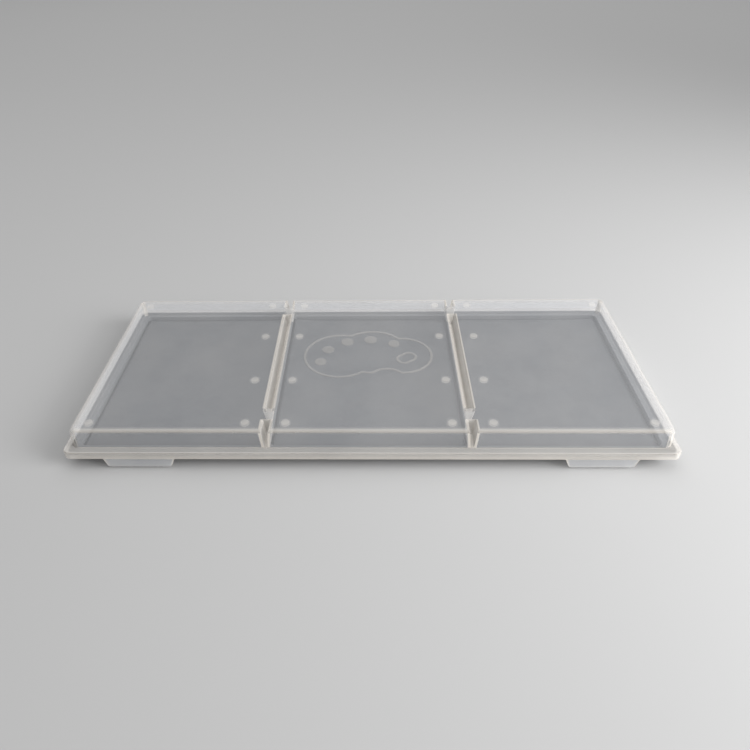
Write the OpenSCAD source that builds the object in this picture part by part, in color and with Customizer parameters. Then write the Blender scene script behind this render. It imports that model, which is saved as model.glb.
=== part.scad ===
/* [Overall] */
// Height of the closed palette, from the table to the flat top
closed_h = 22; // [21:0.5:30]
// Width of the cover's flat top
top_w = 330; // [280:1:380]
// Depth of the cover's flat top
top_d = 139; // [115:1:170]
// Radius of the cover's upright corners
top_corner_r = 3.5; // [2:0.5:6]

/* [Cover] */
// Wall thickness of the moulded cover
shell_t = 1.3; // [1:0.1:1.6]
// Height of the cover's upper wall, from its ledge to the flat top
wall_h = 11.2; // [10:0.1:13]
// Draft of the upper wall, outward at the ledge
wall_draft = 0.9; // [0.3:0.1:1.5]
// Chamfer along the edge of the flat top
top_chamfer = 1; // [0.5:0.1:1.2]
// Width of the ledge along the front and back walls
ledge_w = 4.6; // [4:0.1:6]
// Width of the ledge along the end walls
end_ledge_w = 4; // [3.4:0.1:6]
// Height of the skirt below the ledge
skirt_h = 4.5; // [3.5:0.1:5]
// Plan radius of the skirt's corners
skirt_corner_r = 4.5; // [4:0.5:9]

/* [Finger tabs] */
// Drop of each finger tab below the skirt
tab_drop = 4.9; // [3:0.1:5.2]
// Lean of the finger tabs, outward from upright, in degrees
tab_lean = 9; // [0:1:12]
// Width of the front and back tabs where they leave the skirt
long_side_tab_w = 40; // [25:1:60]
// Width of the tabs on the short sides where they leave the skirt
short_side_tab_w = 64; // [30:1:90]
// Taper of each tab's ends, inward at its tip
tab_taper = 2.2; // [0:0.1:4]
// Distance of the front and back tabs from the middle
tab_x = 127.5; // [90:0.5:133]

/* [Grooves] */
// Distance of each groove from the middle
groove_x = 56.8; // [45:0.1:70]
// Width of a groove and its notches at the flat top
groove_top_w = 4.2; // [4:0.1:7]
// Width of a long groove's floor
groove_floor_w = 0.9; // [0.6:0.1:3]
// Depth of a long groove
groove_depth = 8; // [6:0.1:10.5]
// Width of a notch's floor, just above the ledge
notch_floor_w = 1.9; // [1:0.1:3.5]
// Depth of a notch
notch_depth = 10.8; // [9:0.1:11]
// Length of each open notch through the front and back walls
notch_l = 10.1; // [8:0.1:13]
// Length of each flat bridge between a notch and the long groove
bridge_l = 9.3; // [7:0.1:12]

/* [Marks] */
// Diameter of the ejector marks under the flat top
ejector_mark_d = 6; // [4:0.5:8]
// Height of the ejector marks
ejector_mark_h = 0.2; // [0.1:0.05:0.4]
// Height of the embossed palette sign
sign_h = 0.3; // [0.2:0.05:0.5]
// Line width of the embossed palette sign
sign_line_w = 1.4; // [0.8:0.1:2]

/* [Base tray] */
// Thickness of the tray's walls and floor
tray_t = 1.6; // [1.2:0.1:2]
// Distance from the skirt's outer face to the tray's wall
tray_recess = 6.4; // [6:0.1:8]
// Gap between the tray's rim and the inside of the skirt
rim_gap = 0.5; // [0.3:0.1:0.8]
// Height of the lip that hangs from the rim's outer edge
rim_lip_h = 2.4; // [2:0.1:3]
// Width of the dividers between the wells
divider_w = 3; // [2.4:0.1:4]
// Chamfer around the tray's underside
tray_chamfer = 2; // [1:0.1:2.5]

/* [Filling] */
// Thickness of the wet sponges
sponge_t = 5; // [3:0.5:5]
// Gap between a sponge and the walls of its well
sponge_gap = 0.5; // [0.4:0.1:2]
// Thickness of the palette papers
paper_t = 0.3; // [0.2:0.05:0.4]
// Gap between a paper and the walls of its well
paper_gap = 1; // [0.8:0.1:3]
// Radius of the sponges' and papers' corners
filling_corner_r = 3; // [1:0.5:5]

/* [Hidden] */
$fn = 48;
HULL_FN = 32;
SLICE = 0.01;
EPS = 0.05;

ledge_z = closed_h - wall_h;
rim_z = ledge_z - shell_t;
skirt_z = ledge_z - skirt_h;
foot_w = top_w + 2 * wall_draft;
foot_d = top_d + 2 * wall_draft;
skirt_w = foot_w + 2 * end_ledge_w;
skirt_d = foot_d + 2 * ledge_w;

tray_w = skirt_w - 2 * tray_recess;
tray_d = skirt_d - 2 * tray_recess;
tray_corner_r = 3;
rim_w = skirt_w - 2 * (shell_t + rim_gap);
rim_d = skirt_d - 2 * (shell_t + rim_gap);
rim_corner_r = skirt_corner_r - shell_t - rim_gap;
lip_t = 1.2;

bay_end_x = tray_w / 2 - tray_t;
bay_d = tray_d - 2 * tray_t;
// Each bay runs from its first to its second x along the palette: left, centre, right
BAYS = [
    [-bay_end_x, -groove_x - divider_w / 2],
    [-groove_x + divider_w / 2, groove_x - divider_w / 2],
    [groove_x + divider_w / 2, bay_end_x]
];

groove_half_l = top_d / 2 - notch_l - bridge_l;
notch_start = top_d / 2 - notch_l;
notch_run_out = notch_l + wall_draft + EPS;

// Columns and rows of the ejector marks, mirrored about both middle lines
MARK_ROWS = [0.168 * top_d, 0.444 * top_d];
MARKS_BY_GROOVE = [for (x = [groove_x - 10.8, groove_x + 11.7], y = MARK_ROWS) [x, y]];
MARKS_IN_CORNER = [[top_w / 2 - 8.9, MARK_ROWS[1]]];

// Circles, as x, y and radius: their unions are the palette sign's outline and its thumb hole
SIGN_LOBES = [[-18, 1, 23], [2, 5, 23], [21, 1, 19]];
SIGN_BITE = [11, -25, 11];
SIGN_THUMB_HOLE = [[22, -3, 5], [25, -1, 5]];
SIGN_DABS = [[-30, -6, 3.6], [-26, 7, 3.8], [-14, 15.5, 4], [1, 18, 4], [16, 13.5, 3.6]];

// A rectangle with round corners, centred
module round_rect(w, d, r) {
    square([w - 2 * r, d], center = true);
    square([w, d - 2 * r], center = true);
    for (x = [-1, 1], y = [-1, 1])
        translate([x * (w / 2 - r), y * (d / 2 - r)]) circle(r = r);
}

module round_plate(w, d, r, h) {
    linear_extrude(h) round_rect(w, d, r);
}

// The solid of the cover's upper part, grown inward by inset for the cavity
module upper_block(inset) {
    top_z = closed_h - inset;
    edge = top_chamfer - 0.4 * inset;
    w = top_w - 2 * inset;
    d = top_d - 2 * inset;
    r = max(top_corner_r - inset, 1.5);
    hull($fn = HULL_FN) {
        translate([0, 0, top_z - SLICE])
            round_plate(w - 2 * edge, d - 2 * edge, r, SLICE, $fn = HULL_FN);
        translate([0, 0, top_z - edge])
            round_plate(w, d, r, SLICE, $fn = HULL_FN);
        translate([0, 0, ledge_z - inset])
            round_plate(foot_w - 2 * inset, foot_d - 2 * inset, r + wall_draft, SLICE, $fn = HULL_FN);
    }
}

// A straight wedge-shaped groove from y0 to y1, grown by wall on its sides, ends and floor
module groove_wedge(y0, y1, depth, floor_w, wall) {
    half_top = groove_top_w / 2 + wall;
    half_floor = floor_w / 2 + wall;
    floor_z = -depth - wall;
    over = wall > 0 ? 0 : EPS;
    translate([0, y1 + wall, closed_h]) rotate([90, 0, 0])
        linear_extrude(y1 - y0 + 2 * wall)
            polygon([
                [-half_floor, floor_z], [half_floor, floor_z],
                [half_top, 0], [half_top, over], [-half_top, over], [-half_top, 0]
            ]);
}

// One dividing line: the long groove and the notches through the front and back walls
module groove(wall) {
    groove_wedge(-groove_half_l, groove_half_l, groove_depth, groove_floor_w, wall);
    for (side = [0, 1]) mirror([0, side, 0])
        groove_wedge(notch_start, notch_start + notch_run_out, notch_depth, notch_floor_w, wall);
}

// A finger tab with its root on the skirt's lower edge, leaning towards +Y
module finger_tab(w) {
    root = 1.5;
    translate([0, -shell_t, 0]) rotate([tab_lean, 0, 0])
        translate([0, shell_t, 0]) rotate([90, 0, 0])
            linear_extrude(shell_t)
                polygon([
                    [-w / 2, root], [w / 2, root], [w / 2, 0],
                    [w / 2 - tab_taper, -tab_drop], [-w / 2 + tab_taper, -tab_drop], [-w / 2, 0]
                ]);
}

module finger_tabs() {
    for (side = [0, 1], x = [-tab_x, tab_x]) mirror([0, side, 0])
        translate([x, skirt_d / 2, skirt_z]) finger_tab(long_side_tab_w);
    for (side = [-90, 90]) rotate([0, 0, side])
        translate([0, skirt_w / 2, skirt_z]) finger_tab(short_side_tab_w);
}

// Circles given as x, y and radius, each smaller by inset
module circles(list, inset) {
    for (c = list) translate([c[0], c[1]]) circle(r = c[2] - inset);
}

// The palette sign as a solid outline: lobes less a bite, both moved inward by inset
module sign_area(inset) {
    difference() {
        circles(SIGN_LOBES, inset);
        translate([SIGN_BITE[0], SIGN_BITE[1]]) circle(r = SIGN_BITE[2] + inset);
    }
}

module palette_sign() {
    translate([0, 0, closed_h - EPS]) linear_extrude(sign_h + EPS) {
        difference() {
            sign_area(0);
            sign_area(sign_line_w);
        }
        difference() {
            circles(SIGN_THUMB_HOLE, 0);
            circles(SIGN_THUMB_HOLE, sign_line_w);
        }
        circles(SIGN_DABS, 0);
    }
}

module ejector_marks() {
    for (side_x = [-1, 1], side_y = [-1, 1], m = concat(MARKS_BY_GROOVE, MARKS_IN_CORNER))
        translate([side_x * m[0], side_y * m[1], closed_h - shell_t - ejector_mark_h])
            cylinder(d = ejector_mark_d, h = ejector_mark_h + EPS);
}

// The translucent moulded cover: flat top in three fields, ledge, skirt and finger tabs
module cover() {
    color([0.86, 0.89, 0.92, 0.6]) {
        difference() {
            union() {
                difference() {
                    union() {
                        upper_block(0);
                        translate([0, 0, skirt_z]) round_plate(skirt_w, skirt_d, skirt_corner_r, skirt_h);
                    }
                    upper_block(shell_t);
                    translate([0, 0, skirt_z - EPS])
                        round_plate(
                            skirt_w - 2 * shell_t, skirt_d - 2 * shell_t,
                            skirt_corner_r - shell_t, skirt_h - shell_t + EPS
                        );
                }
                intersection() {
                    upper_block(0);
                    for (x = [-groove_x, groove_x]) translate([x, 0, 0]) groove(shell_t);
                }
                ejector_marks();
            }
            for (x = [-groove_x, groove_x]) translate([x, 0, 0]) groove(0);
        }
        finger_tabs();
        palette_sign();
    }
}

// The tray that stands on the table: three wells, two dividers and a rim under the cover's ledge
module base_tray() {
    color([0.45, 0.46, 0.47]) difference() {
        union() {
            hull() {
                round_plate(
                    tray_w - 2 * tray_chamfer, tray_d - 2 * tray_chamfer,
                    tray_corner_r, SLICE, $fn = HULL_FN
                );
                translate([0, 0, tray_chamfer])
                    round_plate(tray_w, tray_d, tray_corner_r, SLICE, $fn = HULL_FN);
            }
            translate([0, 0, tray_chamfer]) round_plate(tray_w, tray_d, tray_corner_r, rim_z - tray_chamfer);
            translate([0, 0, rim_z - rim_lip_h]) difference() {
                round_plate(rim_w, rim_d, rim_corner_r, rim_lip_h);
                translate([0, 0, -EPS])
                    round_plate(rim_w - 2 * lip_t, rim_d - 2 * lip_t, rim_corner_r - lip_t, rim_lip_h - tray_t + EPS);
            }
        }
        for (bay = BAYS)
            translate([(bay[0] + bay[1]) / 2, 0, tray_t])
                round_plate(bay[1] - bay[0], bay_d, tray_corner_r, rim_z);
    }
}

// A sheet or pad lying in one bay, gap away from its walls
module bay_plate(bay, gap, z, h) {
    translate([(bay[0] + bay[1]) / 2, 0, z])
        round_plate(bay[1] - bay[0] - 2 * gap, bay_d - 2 * gap, filling_corner_r, h);
}

// A wet sponge on the floor of one bay
module sponge(bay) {
    color([0.36, 0.37, 0.38]) bay_plate(bay, sponge_gap, tray_t, sponge_t);
}

// A sheet of palette paper on top of the sponge in one bay
module paper(bay) {
    color([0.31, 0.32, 0.33]) bay_plate(bay, paper_gap, tray_t + sponge_t, paper_t);
}

cover();
base_tray();
sponge(BAYS[0]);  // sponge_left
sponge(BAYS[1]);  // sponge_centre
sponge(BAYS[2]);  // sponge_right
paper(BAYS[0]);  // paper_left
paper(BAYS[1]);  // paper_centre
paper(BAYS[2]);  // paper_right
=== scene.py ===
"""A closed wet palette: a frosted cover over a tray with wet sponges and palette paper.

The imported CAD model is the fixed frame. Each moulding is swept from a rounded profile, cut with
booleans and finished with small edge radii; the sponges and papers are fine meshes. Lengths are in
millimetres up to the mesh builders, which make metres.
"""

import math

import bmesh
import bpy
from mathutils import Matrix, Vector, noise


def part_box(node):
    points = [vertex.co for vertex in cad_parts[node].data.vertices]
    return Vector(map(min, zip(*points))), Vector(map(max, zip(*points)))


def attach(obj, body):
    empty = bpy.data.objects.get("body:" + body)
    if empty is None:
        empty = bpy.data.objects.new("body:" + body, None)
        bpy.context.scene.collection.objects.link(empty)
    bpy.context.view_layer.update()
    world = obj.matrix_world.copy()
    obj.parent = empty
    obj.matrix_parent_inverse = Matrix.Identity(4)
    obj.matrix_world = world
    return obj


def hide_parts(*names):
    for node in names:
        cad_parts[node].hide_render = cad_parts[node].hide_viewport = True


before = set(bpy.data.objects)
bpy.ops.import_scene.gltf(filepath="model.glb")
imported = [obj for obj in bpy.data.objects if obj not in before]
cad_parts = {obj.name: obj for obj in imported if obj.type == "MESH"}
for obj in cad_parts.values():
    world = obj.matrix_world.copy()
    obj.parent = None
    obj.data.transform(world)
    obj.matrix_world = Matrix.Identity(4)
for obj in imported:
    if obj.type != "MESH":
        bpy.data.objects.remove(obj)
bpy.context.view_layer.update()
MM = 0.001

# ---------------------------------------------------------------- sizes, in millimetres
SHELL_T = 1.3
RIM_GAP = 0.5
SIGN_H = 0.3
WALL_H = 11.2
WALL_DRAFT = 0.9
TOP_CORNER_R = 3.5
LEDGE_W = 4.6
END_LEDGE_W = 4.0
SKIRT_H = 4.5
SKIRT_CORNER_R = 4.5
GROOVE_X = 56.8
GROOVE_TOP_W = 4.2
GROOVE_FLOOR_W = 0.9
GROOVE_DEPTH = 8.0
GROOVE_CORNER_R = 0.4
GROOVE_FLARE_W = 0.85
RIB_CORNER_R = 0.9
NOTCH_FLOOR_W = 1.9
NOTCH_DEPTH = 10.8
NOTCH_L = 10.1
BRIDGE_L = 9.3
SIGN_LINE_W = 1.4
TRAY_T = 1.6
TRAY_RECESS = 6.4
TRAY_CHAMFER = 2.0
TRAY_CORNER_R = 3.0
WELL_FLOOR_R = 1.0
RIM_LIP_H = 2.4
RIM_LIP_T = 1.2
DIVIDER_W = 3.0
EDGE_R = 0.3
SIGN_EDGE_R = 0.28

COVER_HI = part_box("cover")[1] / MM
TRAY_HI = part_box("base_tray")[1] / MM
TOP_Z = COVER_HI.z - SIGN_H
LEDGE_Z = TOP_Z - WALL_H
SKIRT_Z = LEDGE_Z - SKIRT_H
RIM_Z = TRAY_HI.z
SKIRT_HALF_W = TRAY_HI.x + RIM_GAP + SHELL_T
SKIRT_HALF_D = TRAY_HI.y + RIM_GAP + SHELL_T
FOOT_OUT = -LEDGE_W
TOP_OUT = FOOT_OUT - WALL_DRAFT
END_SHIFT = LEDGE_W - END_LEDGE_W
TOP_HALF_W = SKIRT_HALF_W + TOP_OUT + END_SHIFT
TOP_HALF_D = SKIRT_HALF_D + TOP_OUT
NOTCH_START = TOP_HALF_D - NOTCH_L
GROOVE_HALF_L = NOTCH_START - BRIDGE_L

CORNER_STEPS = 10
FILLET_STEPS = 5
SMALL_CORNER_STEPS = 3
CIRCLE_STEPS = 40
MERGE_DISTANCE = 0.002
FLAT_WITHIN = math.radians(0.4)
SHARP_FROM = math.radians(40)


# ---------------------------------------------------------------- mesh building
def ring(half_w, half_d, r, z, centre=(0.0, 0.0), steps=CORNER_STEPS):
    """Points of a level rectangle with round corners, anticlockwise from above."""
    points = []
    for k, (sx, sy) in enumerate(((1, 1), (-1, 1), (-1, -1), (1, -1))):
        for i in range(steps + 1):
            a = math.pi / 2 * (k + i / steps)
            x = centre[0] + sx * (half_w - r) + r * math.cos(a)
            y = centre[1] + sy * (half_d - r) + r * math.sin(a)
            points.append(Vector((x, y, z)))
    return points


def new_object(name, bm):
    """A mesh object from a bmesh in millimetres."""
    bmesh.ops.scale(bm, vec=(MM, MM, MM), verts=bm.verts)
    bmesh.ops.recalc_face_normals(bm, faces=bm.faces)
    mesh = bpy.data.meshes.new(name)
    bm.to_mesh(mesh)
    bm.free()
    obj = bpy.data.objects.new(name, mesh)
    bpy.context.scene.collection.objects.link(obj)
    return obj


def loft(name, rings):
    """A closed solid through rings that have as many points each."""
    bm = bmesh.new()
    loops = [[bm.verts.new(p) for p in points] for points in rings]
    count = len(loops[0])
    for low, high in zip(loops, loops[1:]):
        for i in range(count):
            j = (i + 1) % count
            bm.faces.new((low[i], low[j], high[j], high[i]))
    bm.faces.new(list(reversed(loops[0])))
    bm.faces.new(loops[-1])
    return new_object(name, bm)


def rounded(profile):
    """Rounds the corners of an open outline of (x, z, fillet, extra) points; extra is carried along."""
    out = [(profile[0][0], profile[0][1], profile[0][3])]
    for before, here, after in zip(profile, profile[1:], profile[2:]):
        corner, r = Vector(here[:2]), here[2]
        a = (Vector(before[:2]) - corner).normalized()
        b = (Vector(after[:2]) - corner).normalized()
        half = a.angle(b) / 2
        if r <= 0 or half > math.radians(89):
            out.append((corner.x, corner.y, here[3]))
            continue
        reach = r / math.tan(half)
        centre = corner + (a + b).normalized() * (r / math.sin(half))
        start = corner + a * reach - centre
        turn = start.angle_signed(corner + b * reach - centre)
        for i in range(FILLET_STEPS + 1):
            spoke = start.copy()
            spoke.rotate(Matrix.Rotation(-turn * i / FILLET_STEPS, 2))
            out.append((centre.x + spoke.x, centre.y + spoke.y, here[3]))
    out.append((profile[-1][0], profile[-1][1], profile[-1][3]))
    return out


def circle(x, y, r, z):
    turns = (2 * math.pi * i / CIRCLE_STEPS for i in range(CIRCLE_STEPS))
    return [Vector((x + r * math.cos(a), y + r * math.sin(a), z)) for a in turns]


def disc(x, y, r, low, high):
    return loft("disc", [circle(x, y, r, low), circle(x, y, r, high)])


def sweep(name, half_w, half_d, profile, centre=(0.0, 0.0)):
    """A solid whose side follows profile: (outward offset, z, fillet, (plan corner radius, end shift))."""
    rings = []
    for out, z, (r, shift) in rounded(profile):
        rings.append(ring(half_w + out + shift, half_d + out, r, z, centre))
    return loft(name, rings)


def apply_modifiers(obj):
    graph = bpy.context.evaluated_depsgraph_get()
    mesh = bpy.data.meshes.new_from_object(obj.evaluated_get(graph))
    obj.modifiers.clear()
    obj.data = mesh


def combine(obj, operation, tools):
    """Applies one boolean per tool to obj, and removes the tools."""
    for tool in tools:
        modifier = obj.modifiers.new("cut", "BOOLEAN")
        modifier.object = tool
        modifier.operation = operation
        modifier.solver = "EXACT"
        apply_modifiers(obj)
        bpy.data.objects.remove(tool)


def soften_edges(obj, width, finish_faces=None, edge_finish=-1):
    """Rounds every sharp edge left by the booleans.

    finish_faces gives the faces their finishes first; the rounded strips get the one numbered edge_finish.
    """
    bm = bmesh.new()
    bm.from_mesh(obj.data)
    bmesh.ops.remove_doubles(bm, verts=bm.verts, dist=MERGE_DISTANCE * MM)
    bmesh.ops.dissolve_limit(bm, angle_limit=FLAT_WITHIN, verts=bm.verts, edges=bm.edges)
    bm.to_mesh(obj.data)
    bm.free()
    if finish_faces is not None:
        finish_faces(obj)
    bevel = obj.modifiers.new("edges", "BEVEL")
    bevel.width = width * MM
    bevel.segments = 2
    bevel.limit_method = "ANGLE"
    bevel.angle_limit = SHARP_FROM
    bevel.miter_outer = "MITER_ARC"
    bevel.material = edge_finish
    apply_modifiers(obj)


def smooth_shading(obj):
    for polygon in obj.data.polygons:
        polygon.use_smooth = True
    normals = obj.modifiers.new("normals", "WEIGHTED_NORMAL")
    normals.keep_sharp = True
    apply_modifiers(obj)


# ---------------------------------------------------------------- cover
class Stretch:
    """One straight stretch of a dividing line: a long groove, or a notch through the front or back wall."""

    def __init__(self, x, y, half_l, floor_w, depth):
        self.x, self.y, self.half_l = x, y, half_l
        self.floor_w, self.floor_z = floor_w, TOP_Z - depth

    def half_width(self, z):
        share = (z - self.floor_z) / (TOP_Z - self.floor_z)
        return self.floor_w / 2 + share * (GROOVE_TOP_W - self.floor_w) / 2

    def cutter(self):
        """The open space of the groove, with a rounded floor and a flare at the flat top."""
        side = GROOVE_TOP_W / 2
        outline = rounded([
            (0.1, self.floor_z, 0, 0),
            (self.floor_w / 2, self.floor_z, min(0.5, self.floor_w / 3), 0),
            (side, TOP_Z, 0.9, 0),
            (side + 3, TOP_Z, 0, 0),
        ])
        outline = [p for p in outline if p[1] < TOP_Z - 0.001]
        mouth = side + GROOVE_FLARE_W
        rings = []
        for half_w, z, _ in outline + [(mouth, TOP_Z, 0), (mouth, TOP_Z + 1, 0)]:
            flare = max(0.0, half_w - self.half_width(z)) * 0.3
            inset = max(0.0, self.half_width(z) - half_w)
            r = min(GROOVE_CORNER_R, half_w * 0.45)
            half_l = self.half_l + flare - inset
            rings.append(ring(half_w, half_l, r, z, (self.x, self.y), SMALL_CORNER_STEPS))
        return loft("groove", rings)

    def rib(self):
        """The solid that the moulding keeps around the groove."""
        under = self.floor_z - SHELL_T
        rings = []
        for z, inset in ((under, 0.5), (under + 0.15, 0.15), (under + 0.5, 0.0), (TOP_Z - 0.3, 0.0)):
            half_w = self.half_width(z + SHELL_T * 0.5) + SHELL_T - inset
            half_l = self.half_l + SHELL_T - inset
            rings.append(ring(half_w, half_l, RIB_CORNER_R, z, (self.x, self.y), SMALL_CORNER_STEPS))
        return loft("rib", rings)


def dividing_lines():
    """Both dividing lines' stretches: the long grooves and the notches."""
    notch_half = (SKIRT_HALF_D - NOTCH_START) / 2
    for x in (-GROOVE_X, GROOVE_X):
        yield Stretch(x, 0.0, GROOVE_HALF_L, GROOVE_FLOOR_W, GROOVE_DEPTH)
        for side in (-1, 1):
            yield Stretch(x, side * (NOTCH_START + notch_half), notch_half, NOTCH_FLOOR_W, NOTCH_DEPTH)


MARK_COLUMNS = (GROOVE_X - 10.8, GROOVE_X + 11.7)
MARK_ROWS = (0.168 * 2 * TOP_HALF_D, 0.444 * 2 * TOP_HALF_D)
MARK_OUTER_X = TOP_HALF_W - 8.9
MARK_R = 3.0
MARK_SLOPE_W = 0.6
MARK_H = 0.2
MARKS = [(x, y) for x in MARK_COLUMNS for y in MARK_ROWS] + [(MARK_OUTER_X, MARK_ROWS[1])]


def ejector_marks():
    """Low round pads with sloping sides, under the flat top."""
    under = TOP_Z - SHELL_T
    for x, y in MARKS:
        for sx in (-1, 1):
            for sy in (-1, 1):
                place = (sx * x, sy * y)
                levels = ((MARK_R - MARK_SLOPE_W, under - MARK_H), (MARK_R, under), (MARK_R, under + 0.5))
                yield loft("mark", [circle(*place, r, z) for r, z in levels])


TAB_LEAN = math.radians(9)
TAB_DROP = 4.9 * math.cos(TAB_LEAN)
TAB_X = 127.5
TAB_EDGE_R = 0.3
TAB_ROOT_OUT = 1.5
TAB_ROOT_H = 1.0
TAB_ROOT_INSET = 0.3
TAB_INSET = 0.02
TAB_OVERLAP = 0.05
TAB_RIM_W = 0.9
SKIRT_FOOT_H = 3.0
# Width, and how much narrower each side is at the tip
LONG_TAB = (40.0, 2.2)
SHORT_TAB = (64.0, 2.2)


def finger_tab(width, taper, drop):
    """A leaning tab under the skirt's back edge, centred on x, its face just inside the plane y = 0.

    Its root narrows upwards inside the skirt, so that no two faces of the joined moulding coincide.
    """
    root_half_w, half_t = width / 2 + TAB_ROOT_OUT, SHELL_T / 2
    curve = rounded([
        (root_half_w, 0.0, 0, 0),
        (width / 2, 0.0, 0.8, 0),
        (width / 2 - taper, -drop, 1.6, 0),
        (width / 2 - taper - 5, -drop, 0, 0),
    ])[1:-1]
    root_half_t = half_t - TAB_ROOT_INSET
    rings = [ring(root_half_w, root_half_t, TAB_EDGE_R, TAB_ROOT_H, (0, -half_t), SMALL_CORNER_STEPS)]
    for half_w, z, _ in curve:
        middle = (0, math.tan(TAB_LEAN) * max(0.0, -z) - half_t)
        z = z if z < -0.001 else TAB_OVERLAP
        rings.append(ring(half_w, half_t - TAB_INSET, TAB_EDGE_R, z, middle, SMALL_CORNER_STEPS))
    return rings


def placed(rings, x, y, z, turn):
    """Rings turned about the upright axis and moved."""
    matrix = Matrix.Translation((x, y, z)) @ Matrix.Rotation(turn, 4, "Z")
    return [[matrix @ p for p in points] for points in rings]


def finger_tabs():
    """Two tabs under the front, two under the back and a wider one at each end."""
    long_rings = finger_tab(*LONG_TAB, TAB_DROP)
    short_rings = finger_tab(*SHORT_TAB, TAB_DROP)
    for x in (-TAB_X, TAB_X):
        yield loft("tab", placed(long_rings, x, SKIRT_HALF_D, SKIRT_Z, 0))
        yield loft("tab", placed(long_rings, x, -SKIRT_HALF_D, SKIRT_Z, math.pi))
    yield loft("tab", placed(short_rings, -SKIRT_HALF_W, 0, SKIRT_Z, math.pi / 2))
    yield loft("tab", placed(short_rings, SKIRT_HALF_W, 0, SKIRT_Z, -math.pi / 2))


def make_cover():
    """The cover in one piece: moulding, cavity, dividing lines, ejector marks and finger tabs."""
    t, skirt_r, top_r = SHELL_T, SKIRT_CORNER_R, TOP_CORNER_R
    outer = sweep("cover_moulding", SKIRT_HALF_W, SKIRT_HALF_D, [
        (-0.3, SKIRT_Z, 0, (skirt_r - 0.3, 0)),
        (0.0, SKIRT_Z, 0.3, (skirt_r, 0)),
        (0.0, LEDGE_Z, 0.7, (skirt_r, 0)),
        (FOOT_OUT, LEDGE_Z, 0.5, (4.4, END_SHIFT)),
        (TOP_OUT, TOP_Z, 1.9, (top_r, END_SHIFT)),
        (TOP_OUT - 3, TOP_Z, 0, (2.0, END_SHIFT)),
    ])
    cavity = sweep("cavity", SKIRT_HALF_W, SKIRT_HALF_D, [
        (-t, SKIRT_Z - 1, 0, (skirt_r - t, 0)),
        (-t, RIM_Z, 0.3, (skirt_r - t, 0)),
        (FOOT_OUT - t, RIM_Z, 0.3, (3.1, END_SHIFT)),
        (TOP_OUT - t, TOP_Z - t, 0.6, (top_r - t, END_SHIFT)),
        (TOP_OUT - t - 2, TOP_Z - t, 0, (1.5, END_SHIFT)),
    ])
    combine(cavity, "DIFFERENCE", [stretch.rib() for stretch in dividing_lines()])
    combine(cavity, "DIFFERENCE", list(ejector_marks()))
    combine(outer, "DIFFERENCE", [cavity])
    combine(outer, "DIFFERENCE", [stretch.cutter() for stretch in dividing_lines()])
    combine(outer, "UNION", list(finger_tabs()))
    return outer


# Circles, as x, y and radius: their unions are the palette sign's outline and its thumb hole
SIGN_LOBES = ((-18, 1, 23), (2, 5, 23), (21, 1, 19))
SIGN_BITE = (11, -25, 11)
SIGN_THUMB_HOLE = ((22, -3, 5), (25, -1, 5))
SIGN_DABS = ((-30, -6, 3.6), (-26, 7, 3.8), (-14, 15.5, 4), (1, 18, 4), (16, 13.5, 3.6))


def circles_union(circles, inset, low, high):
    """One solid from overlapping discs, each smaller by inset."""
    discs = [disc(x, y, r - inset, low, high) for x, y, r in circles]
    combine(discs[0], "UNION", discs[1:])
    return discs[0]


def sign_area(inset, low, high):
    """The whole area inside the sign's outline, smaller by inset."""
    area = circles_union(SIGN_LOBES, inset, low, high)
    x, y, r = SIGN_BITE
    combine(area, "DIFFERENCE", [disc(x, y, r + inset, low - 1, high + 1)])
    return area


def palette_sign():
    """The raised sign on the centre field: a painter's palette drawn with a round line."""
    low, high = TOP_Z - 0.4, TOP_Z + SIGN_H
    sign = sign_area(0, low, high)
    combine(sign, "DIFFERENCE", [sign_area(SIGN_LINE_W, low - 1, high + 1)])
    thumb = circles_union(SIGN_THUMB_HOLE, 0, low, high)
    combine(thumb, "DIFFERENCE", [circles_union(SIGN_THUMB_HOLE, SIGN_LINE_W, low - 1, high + 1)])
    dabs = [disc(x, y, r, low, high) for x, y, r in SIGN_DABS]
    combine(sign, "UNION", [thumb, *dabs])
    soften_edges(sign, SIGN_EDGE_R)
    return sign


# ---------------------------------------------------------------- tray, sponges and papers
BAY_END = SKIRT_HALF_W - TRAY_RECESS - TRAY_T
BAY_HALF_D = SKIRT_HALF_D - TRAY_RECESS - TRAY_T
BAYS = {
    "left": (-BAY_END, -GROOVE_X - DIVIDER_W / 2),
    "centre": (-GROOVE_X + DIVIDER_W / 2, GROOVE_X - DIVIDER_W / 2),
    "right": (GROOVE_X + DIVIDER_W / 2, BAY_END),
}


def make_tray():
    """The tray in one piece: a rim with a lip, and three wells with dividers between them."""
    wall = -(TRAY_RECESS - SHELL_T - RIM_GAP)
    r = TRAY_CORNER_R
    tray = sweep("tray_moulding", TRAY_HI.x, TRAY_HI.y, [
        (wall - TRAY_CHAMFER - 1, 0, 0, (r - 1, 0)),
        (wall - TRAY_CHAMFER, 0, 0.8, (r, 0)),
        (wall, TRAY_CHAMFER, 1.5, (r, 0)),
        (wall, RIM_Z - TRAY_T, 0.5, (r, 0)),
        (-RIM_LIP_T, RIM_Z - TRAY_T, 0.3, (1.6, 0)),
        (-RIM_LIP_T, RIM_Z - RIM_LIP_H, 0, (1.6, 0)),
        (0, RIM_Z - RIM_LIP_H, 0.4, (2.7, 0)),
        (0, RIM_Z, 0.5, (2.7, 0)),
        (-3, RIM_Z, 0, (2.0, 0)),
    ])
    wells = []
    for low, high in BAYS.values():
        half_w = (high - low) / 2
        wells.append(sweep("well", half_w, BAY_HALF_D, [
            (-1.5, TRAY_T, 0, (r - 1.5, 0)),
            (0, TRAY_T, WELL_FLOOR_R, (r, 0)),
            (0, RIM_Z + 1, 0, (r, 0)),
        ], ((low + high) / 2, 0)))
    combine(tray, "DIFFERENCE", wells)
    return tray


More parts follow.
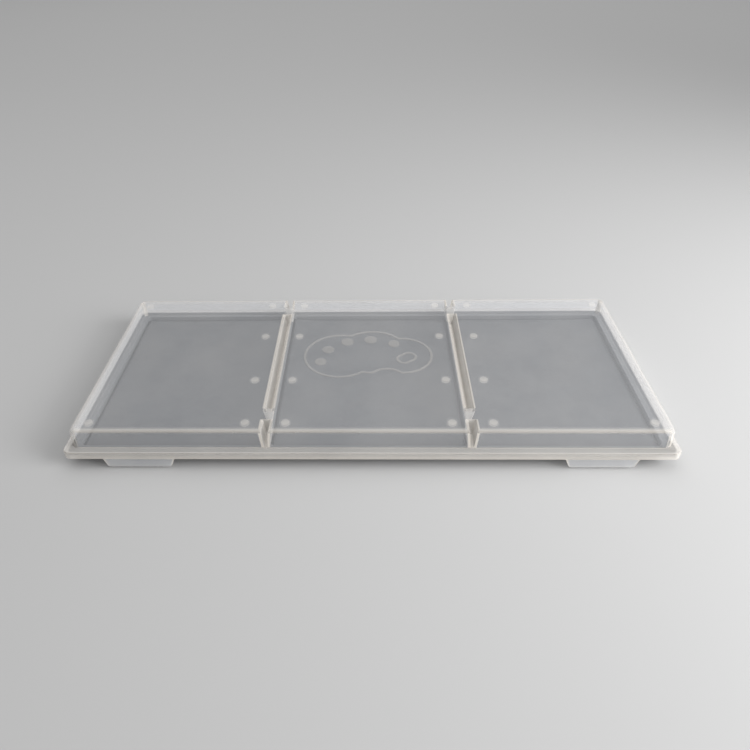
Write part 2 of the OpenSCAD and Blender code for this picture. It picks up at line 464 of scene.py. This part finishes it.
def remeshed(obj, voxel):
    """An even mesh over obj, so that its whole surface can be shaped."""
    remesh = obj.modifiers.new("even", "REMESH")
    remesh.mode = "VOXEL"
    remesh.voxel_size = voxel * MM
    apply_modifiers(obj)
    for polygon in obj.data.polygons:
        polygon.use_smooth = True


FOAM_INSET = 0.1
FOAM_VOXEL = 1.6
PORE_SIZE = 3.2
PORE_DEPTH = 0.35
SWELL_SIZE = 26
SWELL_DEPTH = 0.1


def make_sponge(node, seed):
    """A wet foam pad: soft edges, a slightly uneven face and open pores."""
    low, high = (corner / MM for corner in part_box(node))
    half_w, half_d = (high.x - low.x) / 2, (high.y - low.y) / 2
    bottom, top = low.z + FOAM_INSET, high.z - FOAM_INSET
    pad = sweep("foam_" + node, half_w, half_d, [
        (-3.0, bottom, 0, (1.5, 0)),
        (-0.3, bottom, 0.8, (3, 0)),
        (-0.1, (low.z + high.z) / 2, 3.0, (3, 0)),
        (-0.3, top, 1.0, (3, 0)),
        (-3.0, top, 0, (1.5, 0)),
    ], ((low.x + high.x) / 2, 0))
    remeshed(pad, FOAM_VOXEL)
    offset = Vector((seed * 7.1, seed * 3.7, 0))
    for vertex in pad.data.vertices:
        place = vertex.co / MM
        pore = noise.voronoi(place / PORE_SIZE + offset)[0][0]
        swell = noise.noise(place / SWELL_SIZE + offset)
        depth = PORE_DEPTH * max(0.0, 1 - pore / 0.42) + SWELL_DEPTH * (1 + swell)
        vertex.co -= vertex.normal * depth * MM
    return pad


PAPER_T = 0.1
PAPER_LIFT = 0.15
PAPER_GRID = (64, 80)
RIPPLE_H = 0.12
COCKLE_H = 0.3
EDGE_LIFT_H = 0.25
CORNER_LIFT = 5.0


def make_paper(node, seed):
    """A damp sheet of palette paper, lifting a little along its edges and at two corners."""
    low, high = (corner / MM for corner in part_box(node))
    bm = bmesh.new()
    bmesh.ops.create_grid(bm, x_segments=PAPER_GRID[0], y_segments=PAPER_GRID[1], size=0.5)
    offset = Vector((seed * 5.3, seed * 9.1, 0))
    curled = ((1, 1), (-1, -1)) if seed % 2 else ((-1, 1), (1, -1))
    for vertex in bm.verts:
        u, v = vertex.co.x * 2, vertex.co.y * 2
        ripple = 0.5 + 0.5 * noise.noise(Vector((u * 1.7, v * 2.1, 0)) + offset)
        cockle = 0.5 + 0.5 * noise.noise(Vector((u * 4.5, v * 4.0, 3)) + offset)
        edge = max(abs(u), abs(v)) ** 8
        corner = max(max(0.0, u * cx + v * cy - 1.55) for cx, cy in curled)
        lift = ripple * (RIPPLE_H + COCKLE_H * cockle + EDGE_LIFT_H * edge) + CORNER_LIFT * corner ** 2
        x = (low.x + high.x) / 2 + u * (high.x - low.x) / 2
        y = (low.y + high.y) / 2 + v * (high.y - low.y) / 2
        vertex.co = Vector((x, y, low.z + PAPER_LIFT + lift))
    paper = new_object("sheet_" + node, bm)
    thick = paper.modifiers.new("thickness", "SOLIDIFY")
    thick.thickness = PAPER_T * MM
    thick.offset = 0
    apply_modifiers(paper)
    for polygon in paper.data.polygons:
        polygon.use_smooth = True
    return paper


# ---------------------------------------------------------------- materials
COOL = (0.87, 0.89, 0.925)
WARM = (0.93, 0.90, 0.86)
# A warm white painted highlight: the tint of the cover's edges, curves and glowing bands
PAINTED_HIGHLIGHT = (0.93, 0.875, 0.80)
TRAY_DARK = (0.16, 0.166, 0.173)
TRAY_PALE = (0.20, 0.206, 0.213)
# Painted shade deep in the pores
FOAM_PORE_SHADE = (0.05, 0.053, 0.057)
FOAM_WET = (0.09, 0.095, 0.10)
FOAM_DRY = (0.13, 0.135, 0.14)
PAPER_WET = (0.058, 0.062, 0.067)
PAPER_DRY = (0.095, 0.099, 0.104)
PAPER_FIBRE = (0.18, 0.184, 0.188)
FLOOR_GREY = (0.54, 0.54, 0.54)
POLYPROPYLENE_IOR = 1.49


class Nodes:
    """A short way to write a material's nodes."""

    def __init__(self, name):
        self.material = bpy.data.materials.new(name)
        self.material.use_nodes = True
        self.tree = self.material.node_tree
        self.shader = self.tree.nodes["Principled BSDF"]
        self.place = self.add("ShaderNodeTexCoord").outputs["Object"]

    def add(self, kind, inputs=None, **settings):
        node = self.tree.nodes.new(kind)
        for key, value in settings.items():
            setattr(node, key, value)
        for key, value in (inputs or {}).items():
            self.set(node, key, value)
        return node

    def set(self, node, key, value):
        if isinstance(value, bpy.types.NodeSocket):
            self.tree.links.new(value, node.inputs[key])
        else:
            node.inputs[key].default_value = value

    def math(self, operation, a, b=0.0, c=0.0, clamp=False):
        inputs = {0: a, 1: b, 2: c}
        return self.add("ShaderNodeMath", inputs, operation=operation, use_clamp=clamp).outputs[0]

    def noise(self, size, detail=4.0, roughness=0.55):
        """Noise from 0 to 1 whose lumps are about size millimetres across."""
        inputs = {"Vector": self.place, "Scale": 1 / (size * MM), "Detail": detail, "Roughness": roughness}
        return self.add("ShaderNodeTexNoise", inputs).outputs["Fac"]

    def span(self, value, low, high, to_low, to_high):
        """value from low to high, stretched to the range to_low to to_high."""
        inputs = {"Value": value, "From Min": low, "From Max": high, "To Min": to_low, "To Max": to_high}
        return self.add("ShaderNodeMapRange", inputs).outputs["Result"]

    def blend(self, share, a, b):
        """Colour a where share is 0, colour b where it is 1."""
        node = self.add("ShaderNodeMix", data_type="RGBA")
        self.set(node, 0, share)
        self.set(node, 6, (*a, 1) if isinstance(a, tuple) else a)
        self.set(node, 7, (*b, 1) if isinstance(b, tuple) else b)
        return node.outputs[2]

    def bump(self, height, depth):
        """Relief of this depth in millimetres."""
        inputs = {"Height": height, "Distance": depth * MM, "Strength": 1.0}
        self.set(self.shader, "Normal", self.add("ShaderNodeBump", inputs).outputs["Normal"])

    def surface(self, **sockets):
        for key, value in sockets.items():
            name = key.replace("_", " ").title().replace("Ior", "IOR")
            value = (*value, 1) if isinstance(value, tuple) and name == "Base Color" else value
            self.set(self.shader, name, value)
        return self.material


def smooth_below(nodes, distance, limit, softness=0.25):
    """1 where distance is below limit, falling to 0 over softness, in millimetres."""
    return nodes.span(distance, (limit - softness) * MM, (limit + softness) * MM, 1.0, 0.0)


def parts_of_place(nodes):
    """The place on the cover as |x|, |y| and z."""
    split = nodes.add("ShaderNodeSeparateXYZ", {"Vector": nodes.place}).outputs
    return nodes.math("ABSOLUTE", split["X"]), nodes.math("ABSOLUTE", split["Y"]), split["Z"]


def beside_lines(nodes):
    """1 where the ribs around the grooves and notches stand behind the surface, 0 on the bridges."""
    x, y, z = parts_of_place(nodes)
    taper = (GROOVE_TOP_W - NOTCH_FLOOR_W) / 2 / NOTCH_DEPTH
    below_top = nodes.math("SUBTRACT", TOP_Z * MM, z)
    from_groove = nodes.math("ABSOLUTE", nodes.math("SUBTRACT", x, GROOVE_X * MM))
    from_groove = nodes.math("MULTIPLY_ADD", below_top, taper, from_groove)
    beside = smooth_below(nodes, from_groove, GROOVE_TOP_W / 2 + SHELL_T + 0.1)
    bridge_middle = (NOTCH_START + GROOVE_HALF_L) / 2
    from_bridge = nodes.math("ABSOLUTE", nodes.math("SUBTRACT", y, bridge_middle * MM))
    off_bridge = nodes.math("SUBTRACT", 1.0, smooth_below(nodes, from_bridge, BRIDGE_L / 2))
    return nodes.math("MULTIPLY", beside, off_bridge)


RIM_GLOW_W = 1.2
RIM_SOFTNESS = 1.4
MARK_SOFTNESS = 0.7
MARK_STRENGTH = 0.6


def thick_and_glow_under_top(nodes):
    """How much plastic stands under the flat top, with a painted glow: 1 over walls and ribs, the walls'
    band spreading past them onto the field as painted glow, less over the ejector marks.
    """
    x, y, _ = parts_of_place(nodes)
    to_end = nodes.math("SUBTRACT", x, TOP_HALF_W * MM)
    to_side = nodes.math("SUBTRACT", y, TOP_HALF_D * MM)
    to_rim = nodes.math("MAXIMUM", to_end, to_side)
    walls = nodes.math("SUBTRACT", 1.0, smooth_below(nodes, to_rim, -SHELL_T - RIM_GLOW_W, RIM_SOFTNESS))
    thick = nodes.math("MAXIMUM", walls, beside_lines(nodes))
    folded = nodes.add("ShaderNodeCombineXYZ", {"X": x, "Y": y})
    for mark_x, mark_y in MARKS:
        centre = (mark_x * MM, mark_y * MM, 0)
        apart = nodes.add("ShaderNodeVectorMath", {0: folded.outputs[0], 1: centre}, operation="DISTANCE")
        spot = smooth_below(nodes, apart.outputs["Value"], MARK_R - MARK_SLOPE_W / 2, MARK_SOFTNESS)
        thick = nodes.math("MAXIMUM", thick, nodes.math("MULTIPLY", spot, MARK_STRENGTH))
    return thick


def skirt_foot_highlight(nodes):
    """1 along the skirt's lower edge, a painted highlight where light gathers, falling to 0 above it."""
    z = parts_of_place(nodes)[2]
    return nodes.span(z, SKIRT_Z * MM, (SKIRT_Z + SKIRT_FOOT_H) * MM, 1.0, 0.0)


def tab_rim_highlight(nodes):
    """1 along the side and lower edges of the finger tabs, a painted highlight."""
    x, y, z = parts_of_place(nodes)
    from_long = nodes.math("ABSOLUTE", nodes.math("SUBTRACT", x, TAB_X * MM))
    at_end = nodes.math("GREATER_THAN", x, (TAB_X + LONG_TAB[0] / 2 + 5) * MM)
    from_short = nodes.math("SUBTRACT", y, (SHORT_TAB[0] - LONG_TAB[0]) / 2 * MM)
    across = nodes.span(at_end, 0.0, 1.0, from_long, from_short)
    narrowing = nodes.span(z, SKIRT_Z * MM, 0.0, 0.0, LONG_TAB[1] * MM)
    to_side = nodes.math("SUBTRACT", LONG_TAB[0] / 2 * MM, nodes.math("ADD", across, narrowing))
    return smooth_below(nodes, nodes.math("MINIMUM", to_side, z), TAB_RIM_W, 0.5)


def frosted(name, colour, haze, thick_and_highlight_places=None, thick_and_highlight_haze=0.0):
    """Frosted polypropylene: haze is the share of light that one face scatters, more at thick places and
    along painted highlights, where the tint turns a warm white.
    """
    nodes = Nodes(name)
    cloud = nodes.noise(38, 2)
    grain = nodes.noise(0.5, 3)
    level = nodes.span(cloud, 0.3, 0.7, haze * 0.92, haze * 1.08)
    tint = nodes.blend(nodes.span(cloud, 0.3, 0.7, 0.0, 0.25), colour, WARM)
    if thick_and_highlight_places:
        # thick is partly thicker plastic and partly painted highlight: the skirt's foot, the tab rims and
        # the glow along the walls
        thick = thick_and_highlight_places(nodes)
        level = nodes.math("MULTIPLY_ADD", thick, thick_and_highlight_haze - haze, level, clamp=True)
        tint = nodes.blend(thick, tint, PAINTED_HIGHLIGHT)
    nodes.bump(grain, 0.012)
    return nodes.surface(
        base_color=tint, roughness=nodes.span(grain, 0.3, 0.7, 0.26, 0.36), alpha=level,
        ior=POLYPROPYLENE_IOR, specular_ior_level=0.5,
    )


def tray_plastic():
    """Grey polypropylene with a fine grain."""
    nodes = Nodes("tray_plastic")
    grain = nodes.noise(0.35, 4)
    cloud = nodes.noise(30, 2)
    nodes.bump(grain, 0.02)
    return nodes.surface(
        base_color=nodes.blend(cloud, TRAY_DARK, TRAY_PALE),
        roughness=nodes.span(grain, 0.3, 0.7, 0.38, 0.52), ior=POLYPROPYLENE_IOR,
    )


def wet_foam():
    """Open pores between thin walls, the pores in painted shade, darker where it is wetter."""
    nodes = Nodes("wet_foam")
    inputs = {"Vector": nodes.place, "Scale": 1 / (1.3 * MM), "Randomness": 1.0}
    pores = nodes.add("ShaderNodeTexVoronoi", inputs).outputs["Distance"]
    cloud = nodes.noise(9, 3)
    wall = nodes.span(pores, 0.05, 0.5, 0.0, 1.0)
    dry = nodes.blend(cloud, FOAM_WET, FOAM_DRY)
    nodes.bump(wall, 0.35)
    return nodes.surface(
        base_color=nodes.blend(wall, FOAM_PORE_SHADE, dry),
        roughness=nodes.span(cloud, 0.35, 0.65, 0.45, 0.9),
    )


def damp_paper():
    """Blotches of damp and pale fibres."""
    nodes = Nodes("damp_paper")
    blot = nodes.noise(17, 5, 0.6)
    fibre = nodes.noise(0.9, 6, 0.75)
    damp = nodes.span(blot, 0.38, 0.62, 0, 1)
    tint = nodes.blend(damp, PAPER_WET, PAPER_DRY)
    speck = nodes.blend(nodes.span(fibre, 0.56, 0.70, 0, 0.6), tint, PAPER_FIBRE)
    nodes.bump(fibre, 0.06)
    return nodes.surface(base_color=speck, roughness=nodes.span(damp, 0, 1, 0.28, 0.6))


def floor_paper():
    nodes = Nodes("floor_paper")
    return nodes.surface(base_color=FLOOR_GREY, roughness=0.9)


# Name, colour, haze, where the haze rises, and the haze there. The faces are lit and shaded copies of one
# plastic: the curves and edges are painted highlights, and the haze rises over thick plastic and along
# painted highlights.
COVER_FINISHES = (
    ("frosted_plastic", COOL, 0.14, thick_and_glow_under_top, 0.4),
    ("frosted_walls", COOL, 0.2, beside_lines, 0.75),
    ("frosted_ribs", WARM, 0.4),
    ("frosted_curves_painted_highlight", PAINTED_HIGHLIGHT, 0.28),
    ("frosted_edges_painted_highlight", PAINTED_HIGHLIGHT, 0.56),
    ("frosted_ledge", WARM, 0.38),
    ("frosted_skirt", WARM, 0.42, skirt_foot_highlight, 0.6),
    ("frosted_tabs", COOL, 0.33, tab_rim_highlight, 0.62),
    ("frosted_sign", WARM, 0.22),
)
FIELD, WALLS, RIBS, CURVES, EDGES, LEDGE, SKIRT, TABS, SIGN = range(9)


def cover_finish(normal, centre):
    """Which finish a face of the cover gets, from the way it faces and its place in millimetres."""
    rise = abs(normal.z)
    low = centre.z < LEDGE_Z + 0.1
    if rise > 0.94:
        return LEDGE if low else FIELD
    if rise > 0.35:
        return CURVES
    if min(abs(normal.x), abs(normal.y)) > 0.35:
        return EDGES
    if low:
        return TABS if centre.z < SKIRT_Z else SKIRT
    beside = abs(abs(centre.x) - GROOVE_X) < GROOVE_TOP_W / 2 + SHELL_T + 0.5
    return RIBS if beside else WALLS


def finish_cover(obj):
    """Level, upright and rounded faces of the cover each get their own haze: lit and shaded copies of one
    plastic, with painted highlights on the rounded edges and curves.
    """
    obj.data.materials.clear()
    for finish in COVER_FINISHES:
        obj.data.materials.append(frosted(*finish))
    for polygon in obj.data.polygons:
        polygon.material_index = cover_finish(polygon.normal, polygon.center / MM)


def finish_sign(obj):
    """The sign's own finish, in the slot that it has on the cover once the two are joined."""
    for _ in COVER_FINISHES:
        obj.data.materials.append(None)
    for polygon in obj.data.polygons:
        polygon.material_index = SIGN


# ---------------------------------------------------------------- stage
CAMERA_PLACE = (0.0027, -0.3155, 0.2505)
CAMERA_TILT = 38.1
CAMERA_HEADING = 1.9
CAMERA_ROLL = -1.27
CAMERA_SHIFT = (0.0238, 0.0068)
CAMERA_SENSOR_W = 36.0
CAMERA_LENS = 29.72


def make_camera():
    """At the photograph's viewing angle: 38 degrees down, from in front, close, with a 30 mm lens."""
    data = bpy.data.cameras.new("camera")
    data.sensor_width = CAMERA_SENSOR_W
    data.lens = CAMERA_LENS
    data.shift_x, data.shift_y = CAMERA_SHIFT
    data.clip_start = 0.01
    camera = bpy.data.objects.new("camera", data)
    bpy.context.scene.collection.objects.link(camera)
    heading = Matrix.Rotation(math.radians(CAMERA_HEADING), 4, "Z")
    tilt = Matrix.Rotation(math.radians(90 - CAMERA_TILT), 4, "X")
    roll = Matrix.Rotation(math.radians(CAMERA_ROLL), 4, "Z")
    camera.matrix_world = Matrix.Translation(CAMERA_PLACE) @ heading @ tilt @ roll
    bpy.context.scene.camera = camera


FLOOR_HALF_SIZE = 4000.0
WORLD_STRENGTH = 0.31
# Name, place, target and size in metres, power in watts, spread in degrees
LIGHTS = (
    ("key", (0.9, -0.24, 0.44), (0.05, 0, 0), (0.6, 0.5), 4.3, 110.0),
    ("low", (0.46, -0.36, 0.2), (0.14, -0.07, 0), (0.25, 0.2), 0.5, 180.0),
    ("fill", (-1.0, 0.0, 0.35), (0, 0, 0), (0.8, 0.5), 0.6, 180.0),
    ("overhead", (0.0, 1.7, 2.4), (0, 1.7, 0), (4.0, 4.0), 42, 180.0),
)


def area_light(name, place, target, size, power, spread):
    data = bpy.data.lights.new(name, "AREA")
    data.shape = "RECTANGLE"
    data.size, data.size_y = size
    data.energy = power
    data.spread = math.radians(spread)
    light = bpy.data.objects.new(name, data)
    light.location = place
    light.rotation_euler = (Vector(target) - Vector(place)).to_track_quat("-Z", "Y").to_euler()
    bpy.context.scene.collection.objects.link(light)


def make_stage():
    """A plain pale floor, a pale even sky and four soft lights."""
    bm = bmesh.new()
    bmesh.ops.create_grid(bm, x_segments=1, y_segments=1, size=FLOOR_HALF_SIZE)
    floor = new_object("floor", bm)
    floor.data.materials.append(floor_paper())
    world = bpy.data.worlds.new("studio")
    bpy.context.scene.world = world
    world.use_nodes = True
    world.node_tree.nodes["Background"].inputs["Color"].default_value = (1, 1, 1, 1)
    world.node_tree.nodes["Background"].inputs["Strength"].default_value = WORLD_STRENGTH
    for light in LIGHTS:
        area_light(*light)
    bpy.context.scene.view_settings.view_transform = "Standard"


# ---------------------------------------------------------------- the object
make_camera()
make_stage()

cover = make_cover()
soften_edges(cover, EDGE_R, finish_cover, EDGES)
sign = palette_sign()
finish_sign(sign)
combine(cover, "UNION", [sign])
smooth_shading(cover)
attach(cover, "cover")
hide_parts("cover")

tray = make_tray()
soften_edges(tray, EDGE_R)
smooth_shading(tray)
tray.data.materials.append(tray_plastic())
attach(tray, "base")
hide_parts("base_tray")

foam = wet_foam()
sheet = damp_paper()
for seed, side in enumerate(BAYS, 1):
    pad = make_sponge("sponge_" + side, seed)
    pad.data.materials.append(foam)
    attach(pad, "base")
    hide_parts("sponge_" + side)

    paper = make_paper("paper_" + side, seed)
    paper.data.materials.append(sheet)
    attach(paper, "base")
    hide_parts("paper_" + side)
